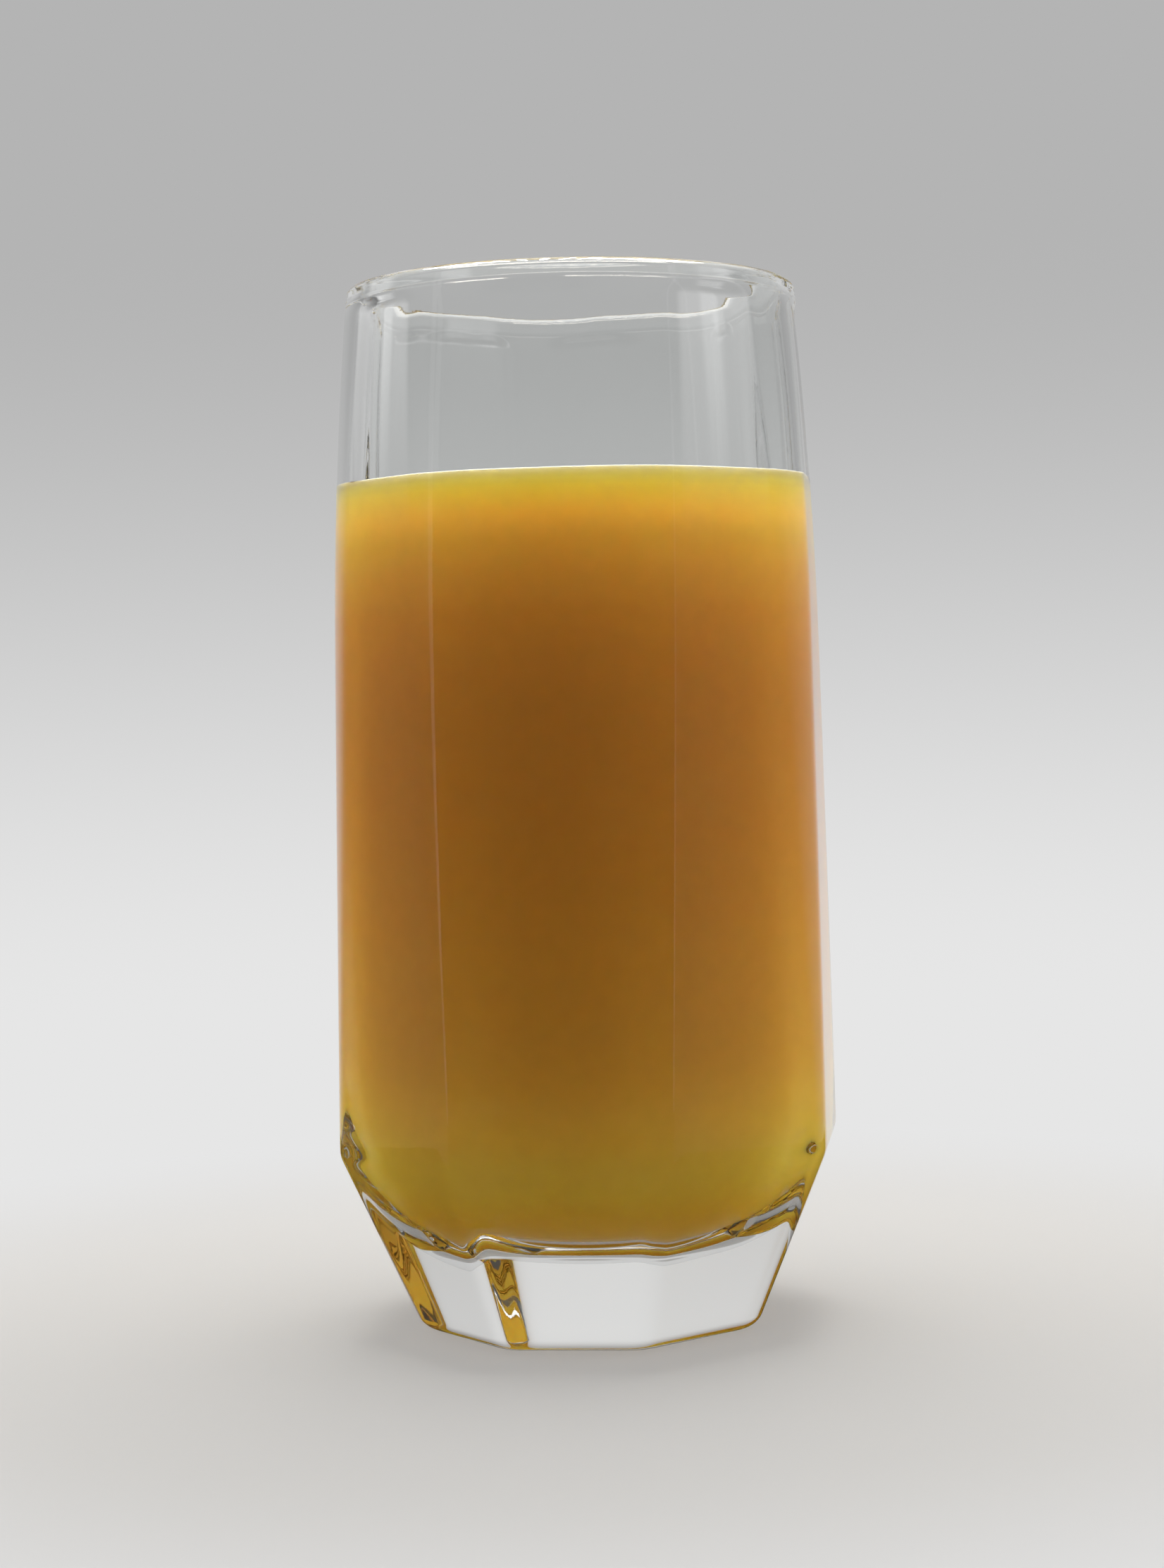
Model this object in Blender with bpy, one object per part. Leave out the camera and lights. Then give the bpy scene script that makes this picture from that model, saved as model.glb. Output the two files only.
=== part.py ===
"""Glass of mango juice: a pressed highball tumbler with flat panels round its body, and the drink in it.

Metres, +Z up. The origin is the middle of the underside, and the glass stands on z = 0.
One panel faces -Y. Angles round the glass are taken from the middle of a panel.
"""

import math

import bmesh
import bpy

# Body of the tumbler, measured on the round columns between the panels
HEIGHT = 0.142
SIDES = 8
SHOULDER_HEIGHT = 0.0248
SHOULDER_RADIUS = 0.03537
BODY_TAPER = 0.0251
CURL_START = 0.0942
CURL_PER_M = 0.807

# Flat panels: half of the angle that each one spans, and the arch that closes it at the top
PANEL_AT_SHOULDER = math.radians(20.5)
PANEL_AT_ARCH = math.radians(11.6)
ARCH_START = 0.1385
ARCH_TOP = 0.1393

# Foot: bevelled facets run from the shoulder in to a smaller flat underside with a rounded edge
FOOT_CORNER_RADIUS = 0.02465
FOOT_EDGE = 0.0020
EDGE_SOFTNESS = 0.00016

# Rim: a fire-polished lip that tapers from both sides to a rounded top
LIP_START = 0.1394
LIP_RADIUS = 0.02980
LIP_INSIDE = 0.0023
LIP_ROUND = 0.0008

# Inside: round, with a thick base under a rounded bottom
PANEL_WALL = 0.0016
FLOOR_HEIGHT = 0.0142
FLOOR_ROUNDING = 0.0210
FLOOR_SAG = 0.0006

# The drink fills the glass to this level, and stays clear of the wall
JUICE_LEVEL = 0.1154
GAP = 0.0003

SECTOR = 2 * math.pi / SIDES
HALF_SECTOR = SECTOR / 2
EVEN_HALF_PANEL = HALF_SECTOR / 2

# Mesh density
PANEL_STEPS = 4
COLUMN_STEPS = 4
FOOT_EDGE_STEPS = 4
FOOT_STEPS = 2
SHOULDER_BAND = 0.0011
SHOULDER_STEPS = 4
BODY_STEPS = 10
ARCH_STEPS = 5
LIP_STEPS = 10
WALL_STEPS = 11
ROUNDING_STEPS = 8
FLOOR_RINGS = (0.66, 0.33)
SHARP_ANGLE = math.radians(18)


def clear_scene():
    for obj in list(bpy.data.objects):
        bpy.data.objects.remove(obj, do_unlink=True)


def material(name, colour, roughness, transmission=0.0, ior=1.5):
    mat = bpy.data.materials.new(name)
    mat.use_nodes = True
    shader = mat.node_tree.nodes["Principled BSDF"]
    shader.inputs["Base Color"].default_value = (*colour, 1.0)
    shader.inputs["Roughness"].default_value = roughness
    shader.inputs["Metallic"].default_value = 0.0
    shader.inputs["Transmission Weight"].default_value = transmission
    shader.inputs["IOR"].default_value = ior
    return mat


def mix(start, end, share):
    return start + (end - start) * share


def spread(start, end, steps):
    """Evenly spaced values from start to end, both included."""
    return [mix(start, end, k / steps) for k in range(steps + 1)]


def soft_min(a, b):
    """The smaller of two radii, with the edge where they cross rounded off."""
    return min(a, b) - EDGE_SOFTNESS * math.log1p(math.exp(-abs(a - b) / EDGE_SOFTNESS))


def column_radius(z):
    """Radius of the round columns: a straight taper that curls in towards the rim."""
    curl = max(0.0, z - CURL_START)
    return SHOULDER_RADIUS - BODY_TAPER * (z - SHOULDER_HEIGHT) - CURL_PER_M * curl * curl


def panel_half_angle(z):
    share = (z - SHOULDER_HEIGHT) / (ARCH_START - SHOULDER_HEIGHT)
    return mix(PANEL_AT_SHOULDER, PANEL_AT_ARCH, max(0.0, share))


def arch_half_angle(z):
    """As panel_half_angle, closed to nothing by the arch at the panel's top."""
    rise = min(1.0, max(0.0, (z - ARCH_START) / (ARCH_TOP - ARCH_START)))
    return panel_half_angle(z) * math.sqrt(1.0 - rise * rise)


def panel_depth_radius(z):
    """Distance from the axis to the middle of a panel, as if it had no arch."""
    return column_radius(z) * math.cos(panel_half_angle(z))


def bevel_radius(z):
    """Distance from the axis to the middle of a foot facet, with the rounded lower edge."""
    foot = FOOT_CORNER_RADIUS * math.cos(HALF_SECTOR)
    shoulder = panel_depth_radius(SHOULDER_HEIGHT)
    rest = max(0.0, FOOT_EDGE - z)
    inset = FOOT_EDGE - math.sqrt(FOOT_EDGE * FOOT_EDGE - rest * rest)
    return mix(foot, shoulder, z / SHOULDER_HEIGHT) - inset


def outer_radius(angle, z):
    """The body, cut by the foot's facets, between which the columns run on as narrow strips."""
    half = arch_half_angle(z)
    body = column_radius(z)
    if abs(angle) < half:
        body *= math.cos(half) / math.cos(angle)
    facet = bevel_radius(z) / math.cos(min(abs(angle), PANEL_AT_SHOULDER))
    return soft_min(body, facet)


def inner_radius(z):
    return panel_depth_radius(z) - PANEL_WALL


def sector_angles(half):
    """Angles of one sector's points, whose first and last panel points are on the panel's edges."""
    panel = spread(-half, half, PANEL_STEPS)[:-1]
    column = spread(half, SECTOR - half, COLUMN_STEPS)[:-1]
    return panel + column


def outer_ring(z, half):
    """Points round the outside at one height, on the panel edges that half gives."""
    points = []
    for side in range(SIDES):
        for angle in sector_angles(half):
            local = angle if angle <= HALF_SECTOR else angle - SECTOR
            radius = outer_radius(local, z)
            turn = side * SECTOR + angle
            points.append((radius * math.sin(turn), -radius * math.cos(turn), z))
    return points


def round_ring(radius, z):
    """As many points round a circle as an outer ring has, evenly spaced."""
    points = []
    for side in range(SIDES):
        for angle in sector_angles(EVEN_HALF_PANEL):
            turn = side * SECTOR + angle
            points.append((radius * math.sin(turn), -radius * math.cos(turn), z))
    return points


def foot_rings():
    rings = []
    for turn in spread(0.0, math.pi / 2, FOOT_EDGE_STEPS)[1:]:
        rings.append(outer_ring(FOOT_EDGE * (1.0 - math.cos(turn)), PANEL_AT_SHOULDER))
    for z in spread(4 * FOOT_EDGE, SHOULDER_HEIGHT - 2 * SHOULDER_BAND, FOOT_STEPS):
        rings.append(outer_ring(z, PANEL_AT_SHOULDER))
    return rings


def body_rings():
    rings = []
    for z in spread(SHOULDER_HEIGHT - SHOULDER_BAND, SHOULDER_HEIGHT + SHOULDER_BAND, SHOULDER_STEPS):
        rings.append(outer_ring(z, PANEL_AT_SHOULDER))
    for z in spread(SHOULDER_HEIGHT + 4 * SHOULDER_BAND, ARCH_START, BODY_STEPS):
        rings.append(outer_ring(z, panel_half_angle(z)))
    for turn in spread(0.0, math.pi / 2, ARCH_STEPS)[1:-1]:
        z = mix(ARCH_START, ARCH_TOP, math.sin(turn))
        rings.append(outer_ring(z, arch_half_angle(z)))
    return rings


def lean_to_lip(across, drop):
    """Lean of the line that touches the lip's rounding and meets a point beside and below its centre."""
    return math.atan2(across, drop) - math.asin(LIP_ROUND / math.hypot(across, drop))


def rim_rings():
    """The lip: up the outer taper, over the rounded top, and on to the inner taper."""
    centre = HEIGHT - LIP_ROUND
    outside = column_radius(LIP_START)
    inside = inner_radius(HEIGHT - LIP_INSIDE)
    rings = [round_ring(outside, LIP_START)]
    first = lean_to_lip(outside - LIP_RADIUS, centre - LIP_START)
    last = math.pi - lean_to_lip(LIP_RADIUS - inside, LIP_INSIDE - LIP_ROUND)
    for turn in spread(first, last, LIP_STEPS):
        radius = LIP_RADIUS + LIP_ROUND * math.cos(turn)
        rings.append(round_ring(radius, centre + LIP_ROUND * math.sin(turn)))
    return rings


def cavity_profile(inset):
    """Radius and height down the inside, from under the lip to the floor, moved inwards by inset."""
    low = FLOOR_HEIGHT + FLOOR_ROUNDING
    profile = [(inner_radius(z) - inset, z) for z in spread(HEIGHT - LIP_INSIDE, low, WALL_STEPS)]
    wall = inner_radius(low)
    centre = wall - FLOOR_ROUNDING
    reach = FLOOR_ROUNDING - inset
    for angle in spread(0.0, math.pi / 2, ROUNDING_STEPS)[1:]:
        profile.append((centre + reach * math.cos(angle), low - reach * math.sin(angle)))
    for share in FLOOR_RINGS:
        drop = FLOOR_SAG * (1.0 - share * share)
        profile.append((centre * share, FLOOR_HEIGHT + inset - drop))
    return profile


def bridge(mesh, lower, upper):
    count = len(lower)
    for k in range(count):
        after = (k + 1) % count
        mesh.faces.new((lower[k], lower[after], upper[after], upper[k]))


def cap(mesh, ring, centre_height):
    """Closes a ring with a fan of triangles round a point on the axis."""
    middle = mesh.verts.new((0.0, 0.0, centre_height))
    count = len(ring)
    for k in range(count):
        mesh.faces.new((ring[k], ring[(k + 1) % count], middle))


def solid(name, rings, first_height, last_height, mat):
    """One closed body from a stack of rings, with both ends closed on the axis."""
    mesh = bmesh.new()
    loops = [[mesh.verts.new(point) for point in ring] for ring in rings]
    for lower, upper in zip(loops, loops[1:]):
        bridge(mesh, lower, upper)
    cap(mesh, loops[0], first_height)
    cap(mesh, loops[-1], last_height)
    bmesh.ops.triangulate(mesh, faces=mesh.faces[:], quad_method="SHORT_EDGE")
    bmesh.ops.recalc_face_normals(mesh, faces=mesh.faces[:])
    data = bpy.data.meshes.new(name)
    mesh.to_mesh(data)
    mesh.free()
    data.shade_smooth()
    data.set_sharp_from_angle(angle=SHARP_ANGLE)
    data.materials.append(mat)
    obj = bpy.data.objects.new(name, data)
    bpy.context.scene.collection.objects.link(obj)
    return obj


def tumbler():
    inside = [round_ring(radius, z) for radius, z in cavity_profile(0.0)]
    underside = outer_ring(0.0, PANEL_AT_SHOULDER)
    rings = [underside] + foot_rings() + body_rings() + rim_rings() + inside
    clear_glass = material("clear_glass", (0.93, 0.96, 0.95), 0.02, transmission=1.0, ior=1.52)
    return solid("glass", rings, 0.0, FLOOR_HEIGHT - FLOOR_SAG, clear_glass)


def drink():
    wet = [(radius, z) for radius, z in cavity_profile(GAP) if z < JUICE_LEVEL]
    profile = [(inner_radius(JUICE_LEVEL) - GAP, JUICE_LEVEL)] + wet
    rings = [round_ring(radius, z) for radius, z in profile]
    pulp = material("mango_juice", (0.80, 0.42, 0.03), 0.25)
    return solid("juice", rings, JUICE_LEVEL, FLOOR_HEIGHT - FLOOR_SAG + GAP, pulp)


clear_scene()
tumbler()
drink()
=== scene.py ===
import math

import bmesh
import bpy
from mathutils import Matrix, Vector


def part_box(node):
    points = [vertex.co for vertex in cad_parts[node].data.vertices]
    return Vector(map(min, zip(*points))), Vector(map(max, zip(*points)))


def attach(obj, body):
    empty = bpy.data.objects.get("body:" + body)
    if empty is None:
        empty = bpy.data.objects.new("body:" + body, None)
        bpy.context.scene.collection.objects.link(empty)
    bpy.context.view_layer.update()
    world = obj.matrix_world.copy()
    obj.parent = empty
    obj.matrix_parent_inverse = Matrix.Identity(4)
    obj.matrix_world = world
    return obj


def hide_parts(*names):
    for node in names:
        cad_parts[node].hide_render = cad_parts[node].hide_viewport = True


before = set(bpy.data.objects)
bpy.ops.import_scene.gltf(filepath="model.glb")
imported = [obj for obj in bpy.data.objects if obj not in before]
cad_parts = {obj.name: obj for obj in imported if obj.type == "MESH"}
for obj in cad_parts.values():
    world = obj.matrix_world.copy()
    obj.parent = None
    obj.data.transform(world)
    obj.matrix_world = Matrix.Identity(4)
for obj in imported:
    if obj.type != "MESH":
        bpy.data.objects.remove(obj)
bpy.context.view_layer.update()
glass_low, glass_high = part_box("glass")
juice_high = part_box("juice")[1]

# Body of the tumbler, measured on the round columns between the flats
HEIGHT = glass_high.z - glass_low.z
SIDES = 8
SECTOR = 2 * math.pi / SIDES
QUARTER = math.pi / 2
SHOULDER_HEIGHT = 0.0248
SHOULDER_RADIUS = 0.03537
SHOULDER_BAND = 0.002
BODY_TAPER = 0.0251
CURL_START = 0.0942
CURL_PER_M = 0.807
FLAT_AT_SHOULDER = math.radians(20.5)
FLAT_AT_ARCH = math.radians(11.6)
ARCH_START = 0.1374
ARCH_TOP = 0.1394
ARCH_LEAD = 0.0005

# Foot and edges
FOOT_CORNER_RADIUS = 0.02465
FOOT_EDGE = 0.0020
FOOT_SEAT = 0.0004
EDGE_ROUNDING = 0.00016
NO_FLAT = 1.0

# Fire-polished lip, with the fine line that it leaves above the flats
LIP_START = 0.1394
LIP_RADIUS = 0.02960
LIP_INSIDE = 0.0023
LIP_ROUND = 0.0010
GROOVE_HEIGHT = 0.1395
GROOVE_WIDTH = 0.0005
GROOVE_DEPTH = 0.00005

# Wall and floor: the wall swells a little towards the lip
FLAT_WALL = 0.0016
RIM_WALL = 0.00178
SWELL_FROM = 0.128
FLOOR_HEIGHT = 0.0142
FLOOR_ROUNDING = 0.0210
FLOOR_SAG = 0.0006

# The drink reaches this far into the wall, and climbs it a little
JUICE_LEVEL = juice_high.z
WET = 0.00008
MENISCUS_RISE = 0.00008
MENISCUS_WIDTH = 0.0006

# Mesh density, round the axis and along the profiles
GLASS_STEPS = 384
DRINK_STEPS = 192
FOOT_EDGE_ROWS = 16
FOOT_ROWS = 14
SHOULDER_ROWS = 20
BODY_ROWS = 30
ARCH_ROWS = 40
LIP_OUTSIDE_ROWS = 24
LIP_ROWS = 36
LIP_INSIDE_ROWS = 8
WALL_ROWS = 30
FLOOR_BEND_ROWS = 28
FLOOR_ROWS = 8
SURFACE_ROWS = 12
MENISCUS_ROWS = 16
MERGE_WITHIN = 0.000001

# Glass
NOISE_DETAIL = 3.0
GLASS_COLOUR = (0.985, 0.995, 0.990)
GLASS_IOR = 1.52
WAVE_SCALE = 900.0
WAVE_HEIGHT = 0.0000015

# Juice: a colour for each height that carries painted light: lighter just above the floor and below the
# top, painted shade down the middle, and painted shade again at the very top edge
JUICE_IOR = 1.35
JUICE_COLOURS_AND_PAINTED_LIGHT = (
    (0.0180, (0.89, 0.495, 0.052)),
    (0.0240, (0.98, 0.620, 0.084)),
    (0.0367, (0.78, 0.440, 0.070)),
    (0.0570, (0.69, 0.340, 0.054)),
    (0.0846, (0.64, 0.292, 0.052)),
    (0.0975, (0.74, 0.365, 0.061)),
    (0.1030, (0.80, 0.470, 0.078)),
    (0.1067, (0.82, 0.555, 0.090)),
    (0.1104, (0.86, 0.620, 0.116)),
    (0.1131, (0.66, 0.53, 0.120)),
    (0.1144, (0.41, 0.35, 0.125)),
    (0.1154, (0.26, 0.22, 0.130)),
)
SCATTER_SCALE = 0.014
SCATTER_RADII = (1.0, 0.9, 0.5)
PULP_SCALE = 420.0
PULP_SHADE = 0.10

# Camera, in the photo's own frame
PHOTO_WIDTH = 1652
PHOTO_HEIGHT = 2226
AXIS_PIXEL = (1000, 1150)
FOCAL_PIXELS = 4042.6
SENSOR = 36.0
CAMERA_AZIMUTH = math.radians(8.25)
CAMERA_DISTANCE = 0.39379
CAMERA_HEIGHT = 0.08719
CAMERA_PITCH = 0.0435
CAMERA_YAW = 0.0421
CAMERA_ROLL = 0.0250
CAMERA_CLIP = (0.01, 20.0)

# Floor and backdrop in one sweep: its greys at heights in the photo, lit near the glass and glowing beyond
FLOOR_Z = -0.0003
SWEEP_FLOOR = 0.40
SWEEP_BEND = 0.35
SWEEP_TOP = 1.2
SWEEP_COLOUR = (0.478, 0.462, 0.435)
LIT_WITHIN = 0.08
GLOWS_BEYOND = 0.17
LEAST_GLOW = 0.42
GREY_ABOVE = 180
GREY_RISE = 50
GREY_FALL = 18
RISE_ROWS = (330, 1420)
FALL_ROWS = (1640, 1960)
WORLD_COLOUR = (0.456, 0.450, 0.440)

# Tent round the back and the sides, dim in reflections beside the glass
TENT_RADIUS = 0.20
TENT_TOP = 0.36
TENT_SPAN = (60, 300)
TENT_GLEAM = 0.15
GLEAM_FROM = 95
GLEAM_FULL = 150
ROOF_GLOW = 11.0
ROOF_RADIUS = 0.12
ROOF_BACK = 0.06
ROOF_GLEAM = 0.2

# Soft lamps that the flats nearest the camera mirror
LAMPS = ((81.75, 1.9), (261.75, 1.6))
LAMP_STEPS = 24
LAMP_WIDTH = 0.09
LAMP_TALL = 0.13
LAMP_HEIGHT = 0.185
LAMP_AWAY = 0.19
LAMP_CORE = 0.45

# Warm lamps overhead that only the outside of the glass mirrors
WARM_WHITE = (1.0, 0.93, 0.82)
STRIP_REACH = (0.22, 0.38)
STRIP_HALF = 90
STRIP_GLOW = 12.0
BAND_AWAY = 0.195
BAND_HEIGHTS = (0.27, 0.355)
BAND_HALF = 70
BAND_GLOW = 1.5
BULB_COUNT = 17
BULB_PITCH = 0.018
BULB_SIZE = 0.005
BULB_LENGTH = 0.08
BULB_Y = -0.02
BULB_Z = 0.30
BULB_GLOW = 120.0

# Light from the sides that only the drink takes up
FILL_SPANS = ((-135, -80), (80, 135))
FILL_AWAY = 0.11
FILL_HEIGHTS = (0.02, 0.095)
FILL_GLOW = 2.9
FILL_COLOUR = (0.97, 1.0, 0.72)

# Dark cards in front of the glass: an upright flag with a foot, an apron on the floor, and one under it
FLAG_HALF = 60
FLAG_REACH = (0.15, 0.39)
FLAG_Z = 0.0005
FLAG_TOP = 0.6
APRON_HALF = 75
APRON_REACH = (0.055, 0.149)
APRON_Z = 0.0004
CARD_HALF = 140
CARD_RADIUS = 0.30
CARD_Z = -0.0001
CARD_SHADE = (0.02, 0.02, 0.02)


def mix(start, end, share):
    return start + (end - start) * share


def spread(start, end, steps):
    """Evenly spaced values from start to end, both included."""
    return [mix(start, end, k / steps) for k in range(steps + 1)]


def smooth(edge0, edge1, value):
    share = min(1.0, max(0.0, (value - edge0) / (edge1 - edge0)))
    return share * share * (3 - 2 * share)


def soft_min(a, b):
    """The smaller of two radii, with the edge where they cross rounded off."""
    return min(a, b) - EDGE_ROUNDING * math.log1p(math.exp(-abs(a - b) / EDGE_ROUNDING))


def column_radius(z):
    """Radius of the round columns: a straight taper that curls in towards the rim."""
    curl = max(0.0, z - CURL_START)
    return SHOULDER_RADIUS - BODY_TAPER * (z - SHOULDER_HEIGHT) - CURL_PER_M * curl * curl


def flat_half_angle(z):
    share = (z - SHOULDER_HEIGHT) / (ARCH_START - SHOULDER_HEIGHT)
    return mix(FLAT_AT_SHOULDER, FLAT_AT_ARCH, max(0.0, share))


def flat_depth_radius(z):
    """Distance from the axis to the middle of a flat, as if it had no arch."""
    return column_radius(z) * math.cos(flat_half_angle(z))


def arched_flat(z):
    """As flat_depth_radius, rising out of the glass above the arch."""
    rise = max(0.0, (z - ARCH_START) / (ARCH_TOP - ARCH_START))
    depth = 1.0 - math.cos(flat_half_angle(z))
    return column_radius(z) * (1.0 - depth * (1.0 - rise * rise))


def bevel_flat(z):
    """Distance from the axis to a foot facet, with the rounded lower edge."""
    foot = FOOT_CORNER_RADIUS * math.cos(SECTOR / 2)
    rest = max(0.0, FOOT_EDGE - z)
    inset = FOOT_EDGE - math.sqrt(FOOT_EDGE * FOOT_EDGE - rest * rest)
    return mix(foot, flat_depth_radius(SHOULDER_HEIGHT), z / SHOULDER_HEIGHT) - inset


def bevel_column(z):
    """Radius of the narrow strips that the columns leave between the foot facets."""
    return bevel_flat(z) / math.cos(FLAT_AT_SHOULDER)


def inner_radius(z):
    swell = max(0.0, z - SWELL_FROM) / (HEIGHT - SWELL_FROM)
    return flat_depth_radius(z) - mix(FLAT_WALL, RIM_WALL, swell)


def outside_profile():
    """Radius, height and flat's distance, from the middle of the underside up to the neck of the rim."""
    arch_foot = ARCH_START - ARCH_LEAD
    heights = [FOOT_EDGE * (1.0 - math.cos(turn)) for turn in spread(0.0, QUARTER, FOOT_EDGE_ROWS)]
    heights += spread(FOOT_EDGE, SHOULDER_HEIGHT - SHOULDER_BAND, FOOT_ROWS)[1:]
    heights += spread(heights[-1], SHOULDER_HEIGHT + SHOULDER_BAND, SHOULDER_ROWS)[1:]
    heights += spread(heights[-1], arch_foot, BODY_ROWS)[1:]
    heights += spread(heights[-1], LIP_START, ARCH_ROWS)[1:]
    points = [(0.0, 0.0, NO_FLAT)]
    points.append((bevel_column(0.0) - FOOT_SEAT, 0.0, bevel_flat(0.0) - FOOT_SEAT))
    for z in heights:
        column = soft_min(column_radius(z), bevel_column(z))
        points.append((column, z, soft_min(arched_flat(z), bevel_flat(z))))
    return points


def lean_to_lip(across, drop):
    """Lean of the line that touches the lip's rounding and meets a point beside and below its centre."""
    return math.atan2(across, drop) - math.asin(LIP_ROUND / math.hypot(across, drop))


def groove(z):
    """Depth of the fine line above the flats."""
    away = (z - GROOVE_HEIGHT) / (GROOVE_WIDTH / 2)
    return GROOVE_DEPTH * math.exp(-away * away)


def slope(start, end, steps):
    """Points between two (radius, height) points, without the ends."""
    inner = range(1, steps)
    return [(mix(start[0], end[0], k / steps), mix(start[1], end[1], k / steps)) for k in inner]


def rim_profile():
    """The lip: it tapers from both sides to a rounded top."""
    centre = HEIGHT - LIP_ROUND
    outside = (column_radius(LIP_START), LIP_START)
    inside = (inner_radius(HEIGHT - LIP_INSIDE), HEIGHT - LIP_INSIDE)
    first = lean_to_lip(outside[0] - LIP_RADIUS, centre - LIP_START)
    last = math.pi - lean_to_lip(LIP_RADIUS - inside[0], LIP_INSIDE - LIP_ROUND)
    arc = []
    for turn in spread(first, last, LIP_ROWS):
        arc.append((LIP_RADIUS + LIP_ROUND * math.cos(turn), centre + LIP_ROUND * math.sin(turn)))
    up = [(radius - groove(z), z) for radius, z in slope(outside, arc[0], LIP_OUTSIDE_ROWS)]
    down = slope(arc[-1], inside, LIP_INSIDE_ROWS)
    return [(radius, z, NO_FLAT) for radius, z in up + arc + down]


def cavity_profile(inset, top):
    """Down the inside from the height top to the middle of the floor, moved inwards by inset."""
    low = FLOOR_HEIGHT + FLOOR_ROUNDING
    centre = inner_radius(low) - FLOOR_ROUNDING
    reach = FLOOR_ROUNDING - inset
    points = [(inner_radius(z) - inset, z, NO_FLAT) for z in spread(top, low, WALL_ROWS)]
    for turn in spread(0.0, QUARTER, FLOOR_BEND_ROWS)[1:]:
        points.append((centre + reach * math.cos(turn), low - reach * math.sin(turn), NO_FLAT))
    for share in spread(1.0, 0.0, FLOOR_ROWS)[1:]:
        drop = FLOOR_SAG * (1.0 - share * share)
        points.append((centre * share, FLOOR_HEIGHT + inset - drop, NO_FLAT))
    return points


def tumbler_profile():
    return outside_profile() + rim_profile() + cavity_profile(0.0, HEIGHT - LIP_INSIDE)


def drink_profile():
    """The surface from its middle out, up the meniscus, and down inside the wall."""
    wall = inner_radius(JUICE_LEVEL)
    start = wall + WET - MENISCUS_WIDTH
    points = [(radius, JUICE_LEVEL, NO_FLAT) for radius in spread(0.0, start, SURFACE_ROWS)]
    for share in spread(0.0, 1.0, MENISCUS_ROWS)[1:]:
        points.append((mix(start, wall, share), JUICE_LEVEL + MENISCUS_RISE * share ** 3, NO_FLAT))
    return points + cavity_profile(-WET, JUICE_LEVEL + MENISCUS_RISE)


class Field:
    """One number in a node tree. Arithmetic on it adds Math nodes."""

    def __init__(self, tree, socket):
        self.tree = tree
        self.socket = socket

    def math(self, operation, *others):
        node = self.tree.nodes.new("ShaderNodeMath")
        node.operation = operation
        for target, value in zip(node.inputs, (self, *others)):
            if isinstance(value, Field):
                self.tree.links.new(value.socket, target)
            else:
                target.default_value = value
        return Field(self.tree, node.outputs[0])

    def __add__(self, other):
        return self.math("ADD", other)

    def __sub__(self, other):
        return self.math("SUBTRACT", other)

    def __mul__(self, other):
        return self.math("MULTIPLY", other)

    def __truediv__(self, other):
        return self.math("DIVIDE", other)


def field_soft_min(a, b, softness):
    gap = (a - b).math("ABSOLUTE") / softness
    swell = ((gap * -1.0).math("EXPONENT") + 1.0).math("LOGARITHM", math.e)
    return a.math("MINIMUM", b) - swell * softness


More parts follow.
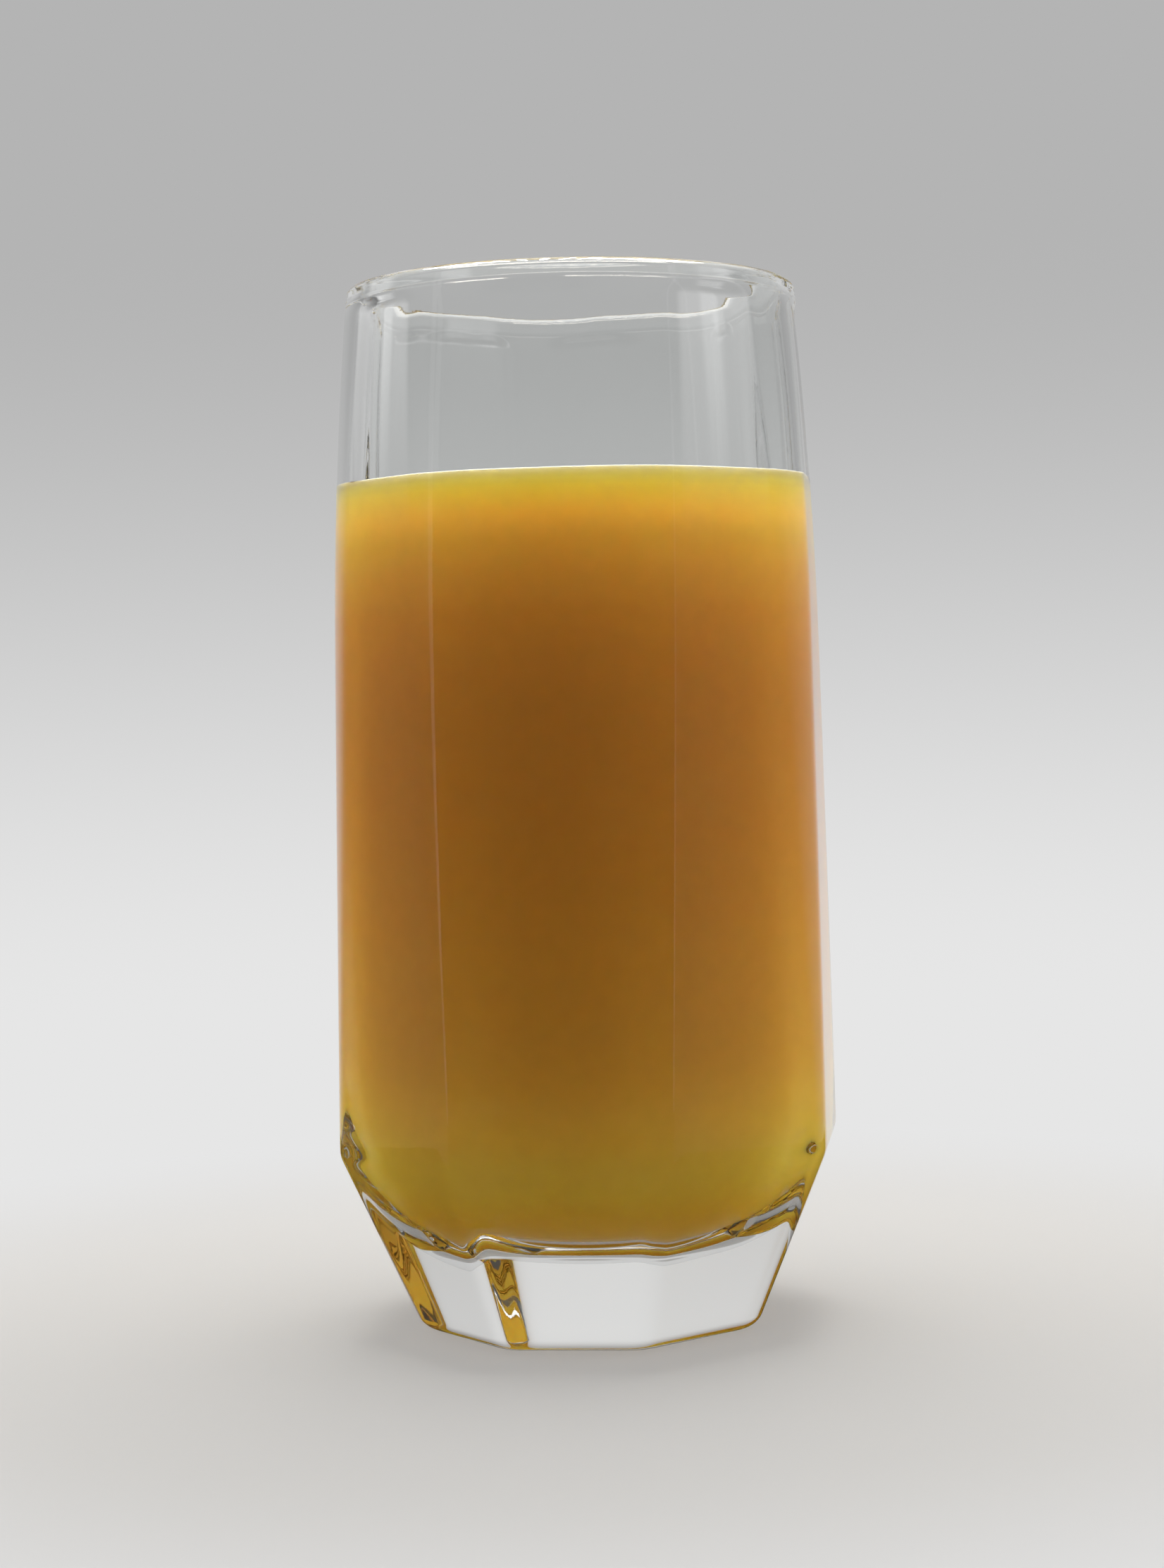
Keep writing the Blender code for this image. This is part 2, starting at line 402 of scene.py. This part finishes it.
def turning_tree():
    """Geometry Nodes that turn a profile round the axis and cut flats into it."""
    tree = bpy.data.node_groups.new("turn_and_cut", "GeometryNodeTree")
    sockets = tree.interface
    sockets.new_socket("Profile", in_out="INPUT", socket_type="NodeSocketGeometry")
    sockets.new_socket("Flats", in_out="INPUT", socket_type="NodeSocketInt")
    sockets.new_socket("Steps Round", in_out="INPUT", socket_type="NodeSocketInt")
    sockets.new_socket("Edge Rounding", in_out="INPUT", socket_type="NodeSocketFloat")
    sockets.new_socket("Finish", in_out="INPUT", socket_type="NodeSocketMaterial")
    sockets.new_socket("Geometry", in_out="OUTPUT", socket_type="NodeSocketGeometry")
    nodes = tree.nodes
    link = tree.links.new
    given = nodes.new("NodeGroupInput").outputs
    size = nodes.new("GeometryNodeAttributeDomainSize")
    link(given["Profile"], size.inputs["Geometry"])
    rows = Field(tree, size.outputs["Point Count"])
    columns = Field(tree, given["Steps Round"]) + 1.0
    grid = nodes.new("GeometryNodeMeshGrid")
    link(columns.socket, grid.inputs["Vertices X"])
    link(rows.socket, grid.inputs["Vertices Y"])
    place = nodes.new("ShaderNodeSeparateXYZ")
    link(nodes.new("GeometryNodeInputPosition").outputs[0], place.inputs[0])
    turn = (Field(tree, place.outputs["X"]) + 0.5) * (2 * math.pi)
    row = ((Field(tree, place.outputs["Y"]) + 0.5) * (rows - 1.0)).math("ROUND")

    def read(kind, socket):
        sample = nodes.new("GeometryNodeSampleIndex")
        sample.data_type = kind
        link(given["Profile"], sample.inputs["Geometry"])
        link(socket, sample.inputs["Value"])
        link(row.socket, sample.inputs["Index"])
        return sample.outputs[0]

    point = nodes.new("ShaderNodeSeparateXYZ")
    link(read("FLOAT_VECTOR", nodes.new("GeometryNodeInputPosition").outputs[0]), point.inputs[0])
    stored = nodes.new("GeometryNodeInputNamedAttribute")
    stored.data_type = "FLOAT"
    stored.inputs["Name"].default_value = "flat"
    flat = Field(tree, read("FLOAT", stored.outputs["Attribute"]))
    radius = Field(tree, point.outputs["X"])
    softness = Field(tree, given["Edge Rounding"])
    sector = Field(tree, given["Flats"]).math("POWER", -1.0) * (2 * math.pi)
    local = turn.math("WRAP", sector * 0.5, sector * -0.5).math("ABSOLUTE")
    this_flat = flat / local.math("COSINE")
    next_flat = flat / (sector - local).math("COSINE")
    cut = field_soft_min(radius, field_soft_min(this_flat, next_flat, softness), softness)
    join = nodes.new("ShaderNodeCombineXYZ")
    link((cut * turn.math("SINE")).socket, join.inputs["X"])
    link((cut * turn.math("COSINE") * -1.0).socket, join.inputs["Y"])
    link(point.outputs["Z"], join.inputs["Z"])
    bend = nodes.new("GeometryNodeSetPosition")
    link(grid.outputs["Mesh"], bend.inputs["Geometry"])
    link(join.outputs[0], bend.inputs["Position"])
    merge = nodes.new("GeometryNodeMergeByDistance")
    merge.inputs["Distance"].default_value = MERGE_WITHIN
    link(bend.outputs[0], merge.inputs["Geometry"])
    real = nodes.new("GeometryNodeRealizeInstances")
    link(merge.outputs[0], real.inputs[0])
    finish = nodes.new("GeometryNodeSetMaterial")
    link(real.outputs[0], finish.inputs["Geometry"])
    link(given["Finish"], finish.inputs["Material"])
    link(finish.outputs[0], nodes.new("NodeGroupOutput").inputs[0])
    return tree


def set_input(modifier, name, value):
    for item in modifier.node_group.interface.items_tree:
        if item.name == name and item.in_out == "INPUT":
            modifier[item.identifier] = value


def linked(name, mesh):
    obj = bpy.data.objects.new(name, mesh)
    bpy.context.scene.collection.objects.link(obj)
    return obj


def plain_mesh(obj, name):
    """What the object's modifiers make of it, as a mesh object of its own."""
    graph = bpy.context.evaluated_depsgraph_get()
    mesh = bpy.data.meshes.new_from_object(obj.evaluated_get(graph))
    bpy.data.objects.remove(obj)
    return linked(name, mesh)


def turned(name, profile, tree, steps, finish):
    """A piece made by turning (radius, height, flat) points round the axis."""
    seed = bpy.data.meshes.new(name + "_profile")
    edges = [(k, k + 1) for k in range(len(profile) - 1)]
    seed.from_pydata([(radius, 0.0, z) for radius, z, _ in profile], edges, [])
    flats = seed.attributes.new("flat", "FLOAT", "POINT")
    flats.data.foreach_set("value", [flat for _, _, flat in profile])
    carrier = linked(name + "_profile", seed)
    modifier = carrier.modifiers.new("turn", "NODES")
    modifier.node_group = tree
    set_input(modifier, "Flats", SIDES)
    set_input(modifier, "Steps Round", steps)
    set_input(modifier, "Edge Rounding", EDGE_ROUNDING)
    set_input(modifier, "Finish", finish)
    bpy.context.view_layer.update()
    piece = plain_mesh(carrier, name)
    work = bmesh.new()
    work.from_mesh(piece.data)
    bmesh.ops.recalc_face_normals(work, faces=work.faces[:])
    if work.calc_volume(signed=True) < 0:
        bmesh.ops.reverse_faces(work, faces=work.faces[:])
    work.to_mesh(piece.data)
    work.free()
    piece.data.shade_smooth()
    return piece


def replace_node(piece, node):
    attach(piece, "root")
    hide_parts(node)


def principled(name):
    mat = bpy.data.materials.new(name)
    mat.use_nodes = True
    return mat, mat.node_tree, mat.node_tree.nodes["Principled BSDF"]


def noise(tree, scale):
    place = tree.nodes.new("ShaderNodeTexCoord")
    cloud = tree.nodes.new("ShaderNodeTexNoise")
    cloud.inputs["Scale"].default_value = scale
    cloud.inputs["Detail"].default_value = NOISE_DETAIL
    tree.links.new(place.outputs["Object"], cloud.inputs["Vector"])
    return Field(tree, cloud.outputs["Fac"])


def mottled(tree, colour, scale, shade):
    """A colour made lighter and darker in soft spots."""
    tone = tree.nodes.new("ShaderNodeHueSaturation")
    tree.links.new(colour, tone.inputs["Color"])
    value = (noise(tree, scale) - 0.5) * shade + 1.0
    tree.links.new(value.socket, tone.inputs["Value"])
    return tone.outputs["Color"]


def blend(tree, share, first, second):
    both = tree.nodes.new("ShaderNodeMixShader")
    tree.links.new(share, both.inputs[0])
    tree.links.new(first, both.inputs[1])
    tree.links.new(second, both.inputs[2])
    return both.outputs[0]


def clear_glass():
    """Pressed glass, with the faint grain that the mould leaves in its surface."""
    mat, tree, shader = principled("clear_glass")
    shader.inputs["Base Color"].default_value = (*GLASS_COLOUR, 1.0)
    shader.inputs["Roughness"].default_value = 0.0
    shader.inputs["IOR"].default_value = GLASS_IOR
    shader.inputs["Transmission Weight"].default_value = 1.0
    waves = tree.nodes.new("ShaderNodeBump")
    waves.inputs["Distance"].default_value = WAVE_HEIGHT
    tree.links.new(noise(tree, WAVE_SCALE).socket, waves.inputs["Height"])
    tree.links.new(waves.outputs["Normal"], shader.inputs["Normal"])
    return mat


def mango_juice():
    """Pulpy juice behind a smooth interface with the glass, its colour by height holding painted light and
    shade.
    """
    mat, tree, shader = principled("juice_in_glass")
    place = tree.nodes.new("ShaderNodeTexCoord")
    split = tree.nodes.new("ShaderNodeSeparateXYZ")
    tree.links.new(place.outputs["Object"], split.inputs[0])
    depth = Field(tree, split.outputs["Z"]) / JUICE_LEVEL
    # Colour by height: painted light near the top and the floor, painted shade down the middle and at the
    # top edge
    ramp = tree.nodes.new("ShaderNodeValToRGB")
    ramp.color_ramp.interpolation = "CARDINAL"
    stops = ramp.color_ramp.elements
    for k, (z, colour) in enumerate(JUICE_COLOURS_AND_PAINTED_LIGHT):
        stop = stops[k] if k < 2 else stops.new(1.0)
        stop.position = z / JUICE_LEVEL
        stop.color = (*colour, 1.0)
    tree.links.new(depth.socket, ramp.inputs[0])
    colour = mottled(tree, ramp.outputs["Color"], PULP_SCALE, PULP_SHADE)
    tree.links.new(colour, shader.inputs["Base Color"])
    shader.inputs["Roughness"].default_value = 1.0
    shader.inputs["Specular IOR Level"].default_value = 0.0
    shader.inputs["IOR"].default_value = JUICE_IOR
    shader.inputs["Subsurface Weight"].default_value = 1.0
    shader.inputs["Subsurface Scale"].default_value = SCATTER_SCALE
    shader.inputs["Subsurface Radius"].default_value = SCATTER_RADII
    sheen = tree.nodes.new("ShaderNodeFresnel")
    sheen.inputs["IOR"].default_value = JUICE_IOR / GLASS_IOR
    mirror = tree.nodes.new("ShaderNodeBsdfGlossy")
    mirror.inputs["Roughness"].default_value = 0.0
    both = blend(tree, sheen.outputs[0], shader.outputs[0], mirror.outputs[0])
    tree.links.new(both, tree.nodes["Material Output"].inputs["Surface"])
    return mat


def see_through(tree, glow):
    """Light that hides nothing behind it."""
    both = tree.nodes.new("ShaderNodeAddShader")
    clear = tree.nodes.new("ShaderNodeBsdfTransparent")
    tree.links.new(glow, both.inputs[0])
    tree.links.new(clear.outputs[0], both.inputs[1])
    return both.outputs[0]


def stage_material(name, build):
    """A material whose surface is what build adds to its empty tree."""
    mat = bpy.data.materials.new(name)
    mat.use_nodes = True
    tree = mat.node_tree
    tree.nodes.clear()
    out = tree.nodes.new("ShaderNodeOutputMaterial")
    tree.links.new(build(tree), out.inputs["Surface"])
    return mat


def attribute(tree, name):
    stored = tree.nodes.new("ShaderNodeAttribute")
    stored.attribute_name = name
    return Field(tree, stored.outputs["Fac"])


def light_path(tree, name):
    return Field(tree, tree.nodes.new("ShaderNodeLightPath").outputs[name])


def to_the_drink(tree):
    """1 for light that reaches the drink through the glass, and 0 for all other sight."""
    through = light_path(tree, "Is Transmission Ray") * light_path(tree, "Diffuse Depth")
    return through.math("MINIMUM", 1.0)


def by_reflection(tree):
    """1 for what is seen in a reflection, and 0 for direct sight, also through the glass."""
    return light_path(tree, "Glossy Depth").math("MINIMUM", 1.0)


def emission(tree, strength, colour=(1.0, 1.0, 1.0)):
    glow = tree.nodes.new("ShaderNodeEmission")
    glow.inputs["Color"].default_value = (*colour, 1.0)
    if isinstance(strength, Field):
        tree.links.new(strength.socket, glow.inputs["Strength"])
    else:
        glow.inputs["Strength"].default_value = strength
    return glow.outputs[0]


def diffuse(tree, colour):
    cloth = tree.nodes.new("ShaderNodeBsdfDiffuse")
    cloth.inputs["Color"].default_value = (*colour, 1.0)
    return cloth.outputs[0]


def tent_light(tree):
    """Glow from the mesh, with a strength of its own in reflections."""
    mirrored = by_reflection(tree)
    plain = attribute(tree, "glow") * (mirrored * -1.0 + 1.0)
    return emission(tree, plain + attribute(tree, "gleam") * mirrored)


def sweep_light(tree):
    """White sheet that is lit near the glass and glows farther out."""
    place = tree.nodes.new("ShaderNodeTexCoord")
    length = tree.nodes.new("ShaderNodeVectorMath")
    length.operation = "LENGTH"
    tree.links.new(place.outputs["Object"], length.inputs[0])
    share = tree.nodes.new("ShaderNodeMapRange")
    share.interpolation_type = "SMOOTHSTEP"
    share.inputs["From Min"].default_value = LIT_WITHIN
    share.inputs["From Max"].default_value = GLOWS_BEYOND
    share.inputs["To Min"].default_value = LEAST_GLOW
    tree.links.new(length.outputs["Value"], share.inputs["Value"])
    return blend(tree, share.outputs["Result"], diffuse(tree, SWEEP_COLOUR), tent_light(tree))


def lamp_light(tree):
    return see_through(tree, emission(tree, attribute(tree, "glow")))


def fill_light(tree):
    return see_through(tree, emission(tree, to_the_drink(tree) * FILL_GLOW, FILL_COLOUR))


def black_to(tree, seen):
    """Black card for the share of sight that seen gives, and clear to the rest."""
    clear = tree.nodes.new("ShaderNodeBsdfTransparent")
    return blend(tree, seen.socket, clear.outputs[0], diffuse(tree, CARD_SHADE))


def flag_cloth(tree):
    """Black in reflections and to the drink, and clear to the rest."""
    return black_to(tree, by_reflection(tree).math("MAXIMUM", to_the_drink(tree)))


def apron_cloth(tree):
    """Black to the drink, and clear to the rest."""
    return black_to(tree, to_the_drink(tree))


def card_cloth(tree):
    return diffuse(tree, CARD_SHADE)


def srgb(value):
    """Linear light of an 8-bit display value."""
    share = value / 255.0
    return share / 12.92 if share <= 0.04045 else ((share + 0.055) / 1.055) ** 2.4


def photo_grey(row):
    """Grey of the sweep at a height in the photo's frame."""
    return GREY_ABOVE + GREY_RISE * smooth(*RISE_ROWS, row) - GREY_FALL * smooth(*FALL_ROWS, row)


def sweep_glow(radius, z):
    """Glow of a point of the sweep, from where the camera sees it on the far side of the glass."""
    angle = math.atan2(CAMERA_HEIGHT - z, CAMERA_DISTANCE + radius) - CAMERA_PITCH
    return srgb(photo_grey(AXIS_PIXEL[1] + FOCAL_PIXELS * math.tan(angle)))


def side_gleam(angle):
    """Share of its glow that the tent keeps in reflections at an azimuth."""
    away = abs(math.degrees(angle))
    return mix(TENT_GLEAM, 1.0, smooth(GLEAM_FROM, GLEAM_FULL, min(away, 360 - away)))


def hide_from(obj, *kinds):
    for kind in kinds:
        setattr(obj, "visible_" + kind, False)


def swept(name, profile, span, steps, mat, glow=(), gleam=None):
    """A sheet turned round the axis between two azimuths, with one glow value a ring."""
    closed = span[1] - span[0] > 359.9
    angles = [math.radians(a) for a in spread(*span, steps)]
    if closed:
        angles.pop()
    verts = [(r * math.sin(a), -r * math.cos(a), z) for r, z in profile for a in angles]
    count = len(angles)
    faces = []
    for ring in range(len(profile) - 1):
        low = ring * count
        high = low + count
        for k in range(count if closed else count - 1):
            after = (k + 1) % count
            faces.append((low + k, low + after, high + after, high + k))
    mesh = bpy.data.meshes.new(name)
    mesh.from_pydata(verts, [], faces)
    if glow:
        plain = [value for value in glow for _ in angles]
        mirrored = [value * gleam(a) if gleam else value for value in glow for a in angles]
        mesh.attributes.new("glow", "FLOAT", "POINT").data.foreach_set("value", plain)
        mesh.attributes.new("gleam", "FLOAT", "POINT").data.foreach_set("value", mirrored)
    mesh.materials.append(mat)
    mesh.shade_smooth()
    obj = linked(name, mesh)
    return obj


def make_sweep():
    profile = [(r, FLOOR_Z) for r in spread(0.0, SWEEP_FLOOR, 40)]
    for angle in spread(0.0, QUARTER, 30)[1:]:
        rise = SWEEP_BEND * (1.0 - math.cos(angle))
        profile.append((SWEEP_FLOOR + SWEEP_BEND * math.sin(angle), FLOOR_Z + rise))
    profile += [(SWEEP_FLOOR + SWEEP_BEND, z) for z in spread(SWEEP_BEND, SWEEP_TOP, 10)[1:]]
    glow = [sweep_glow(r, z) for r, z in profile]
    swept("sweep", profile, (-180, 180), 96, stage_material("white_sweep", sweep_light), glow)


def make_tent():
    cloth = stage_material("tent_cloth", tent_light)
    profile = [(TENT_RADIUS, z) for z in spread(0.0, TENT_TOP, 24)]
    glow = [sweep_glow(r, z) for r, z in profile]
    wall = swept("tent_wall", profile, TENT_SPAN, 60, cloth, glow, side_gleam)
    hide_from(wall, "camera")
    profile = [(r, 0.0) for r in spread(0.0, ROOF_RADIUS, 6)]
    glow = [ROOF_GLOW] * len(profile)
    roof = swept("tent_roof", profile, (-180, 180), 48, cloth, glow, lambda angle: ROOF_GLEAM)
    roof.location = (0.0, ROOF_BACK, TENT_TOP)
    hide_from(roof, "camera")


def side_lamp(azimuth, strength, mat):
    """A soft lamp at one side: an upright sheet facing the glass, whose light dies away to its edges."""
    verts = []
    faces = []
    glow = []
    row = LAMP_STEPS + 1
    for v in spread(-1.0, 1.0, LAMP_STEPS):
        for u in spread(-1.0, 1.0, LAMP_STEPS):
            verts.append((u * LAMP_WIDTH / 2, 0.0, v * LAMP_TALL / 2))
            side = 1.0 - smooth(LAMP_CORE, 1.0, abs(u))
            glow.append(strength * side * (1.0 - smooth(0.0, 1.0, abs(v))))
    for j in range(LAMP_STEPS):
        for k in range(LAMP_STEPS):
            low = j * row + k
            faces.append((low, low + 1, low + row + 1, low + row))
    mesh = bpy.data.meshes.new("side_lamp")
    mesh.from_pydata(verts, [], faces)
    mesh.attributes.new("glow", "FLOAT", "POINT").data.foreach_set("value", glow)
    mesh.materials.append(mat)
    obj = linked("side_lamp", mesh)
    turn = Matrix.Rotation(math.radians(azimuth), 4, "Z")
    obj.matrix_world = turn @ Matrix.Translation((0.0, -LAMP_AWAY, LAMP_HEIGHT))
    hide_from(obj, "camera")


def make_side_lamps():
    cloth = stage_material("lamp_cloth", lamp_light)
    for azimuth, strength in LAMPS:
        side_lamp(azimuth, strength, cloth)
    cloth = stage_material("fill_cloth", fill_light)
    profile = [(FILL_AWAY, z) for z in spread(*FILL_HEIGHTS, 6)]
    for span in FILL_SPANS:
        fill = swept("side_fill", profile, span, 16, cloth)
        hide_from(fill, "camera", "shadow")


def warm_lamp(name, strength):
    return stage_material(name, lambda tree: emission(tree, strength, WARM_WHITE))


def make_warm_lamps():
    profile = [(r, TENT_TOP) for r in spread(*STRIP_REACH, 2)]
    strip = swept("lamp_strip", profile, (-STRIP_HALF, STRIP_HALF), 24, warm_lamp("strip_glow", STRIP_GLOW))
    profile = [(BAND_AWAY, z) for z in spread(*BAND_HEIGHTS, 2)]
    span = (180 - BAND_HALF, 180 + BAND_HALF)
    band = swept("back_band", profile, span, 24, warm_lamp("band_glow", BAND_GLOW))
    mesh = bpy.data.meshes.new("bulb_row")
    work = bmesh.new()
    reach = BULB_PITCH * (BULB_COUNT - 1) / 2
    for x in spread(-reach, reach, BULB_COUNT - 1):
        size = Matrix.Diagonal((BULB_SIZE, BULB_LENGTH, BULB_SIZE, 1.0))
        bmesh.ops.create_cube(work, size=1.0, matrix=Matrix.Translation((x, BULB_Y, BULB_Z)) @ size)
    work.to_mesh(mesh)
    work.free()
    mesh.materials.append(warm_lamp("bulb_glow", BULB_GLOW))
    row = linked("bulb_row", mesh)
    for lamp in (strip, band, row):
        hide_from(lamp, "camera", "diffuse", "transmission")


def make_dark_cards():
    near, far = FLAG_REACH
    profile = [(near, FLAG_Z), (far, FLAG_Z), (far, FLAG_TOP / 2), (far, FLAG_TOP)]
    cloth = stage_material("flag_cloth", flag_cloth)
    flag = swept("front_flag", profile, (-FLAG_HALF, FLAG_HALF), 24, cloth)
    hide_from(flag, "camera", "shadow")
    profile = [(r, APRON_Z) for r in spread(*APRON_REACH, 2)]
    cloth = stage_material("apron_cloth", apron_cloth)
    apron = swept("front_apron", profile, (-APRON_HALF, APRON_HALF), 24, cloth)
    hide_from(apron, "camera", "shadow")
    cloth = stage_material("card_cloth", card_cloth)
    card = swept("dark_card", [(0.0, 0.0), (CARD_RADIUS, 0.0)], (-CARD_HALF, CARD_HALF), 48, cloth)
    card.location = (0.0, 0.0, CARD_Z)
    hide_from(card, "camera", "transmission", "diffuse", "shadow")


def make_camera():
    """Level camera turned by small angles, and shifted so that the photo's frame is met."""
    data = bpy.data.cameras.new("camera")
    data.sensor_width = SENSOR
    data.lens = FOCAL_PIXELS * SENSOR / PHOTO_HEIGHT
    data.shift_x = (PHOTO_WIDTH / 2 - AXIS_PIXEL[0]) / PHOTO_HEIGHT
    data.shift_y = (AXIS_PIXEL[1] - PHOTO_HEIGHT / 2) / PHOTO_HEIGHT
    data.clip_start, data.clip_end = CAMERA_CLIP
    camera = linked("camera", data)
    right = Vector((math.cos(CAMERA_YAW), -math.sin(CAMERA_YAW), 0.0))
    level = Vector((math.sin(CAMERA_YAW), math.cos(CAMERA_YAW), 0.0))
    down = Vector((0.0, 0.0, -1.0))
    ahead = level * math.cos(CAMERA_PITCH) + down * math.sin(CAMERA_PITCH)
    up = level * math.sin(CAMERA_PITCH) - down * math.cos(CAMERA_PITCH)
    across = right * math.cos(CAMERA_ROLL) - up * math.sin(CAMERA_ROLL)
    upward = right * math.sin(CAMERA_ROLL) + up * math.cos(CAMERA_ROLL)
    turn = Matrix((across, upward, -ahead)).transposed().to_4x4()
    move = Matrix.Translation((0.0, -CAMERA_DISTANCE, CAMERA_HEIGHT))
    camera.matrix_world = Matrix.Rotation(CAMERA_AZIMUTH, 4, "Z") @ move @ turn
    bpy.context.scene.camera = camera


def make_glass_of_juice():
    tree = turning_tree()
    tumbler = turned("tumbler", tumbler_profile(), tree, GLASS_STEPS, clear_glass())
    replace_node(tumbler, "glass")
    drink = turned("drink", drink_profile(), tree, DRINK_STEPS, mango_juice())
    replace_node(drink, "juice")


def make_world():
    world = bpy.data.worlds.new("studio")
    world.use_nodes = True
    backdrop = world.node_tree.nodes["Background"]
    backdrop.inputs["Color"].default_value = (*WORLD_COLOUR, 1.0)
    backdrop.inputs["Strength"].default_value = 1.0
    bpy.context.scene.world = world


def set_light_paths():
    scene = bpy.context.scene
    scene.view_settings.view_transform = "Standard"
    scene.view_settings.look = "None"
    scene.cycles.max_bounces = 40
    scene.cycles.transmission_bounces = 32
    scene.cycles.glossy_bounces = 32
    scene.cycles.diffuse_bounces = 4
    scene.cycles.sample_clamp_indirect = 6.0


make_camera()
make_glass_of_juice()
make_sweep()
make_tent()
make_side_lamps()
make_warm_lamps()
make_dark_cards()
make_world()
set_light_paths()
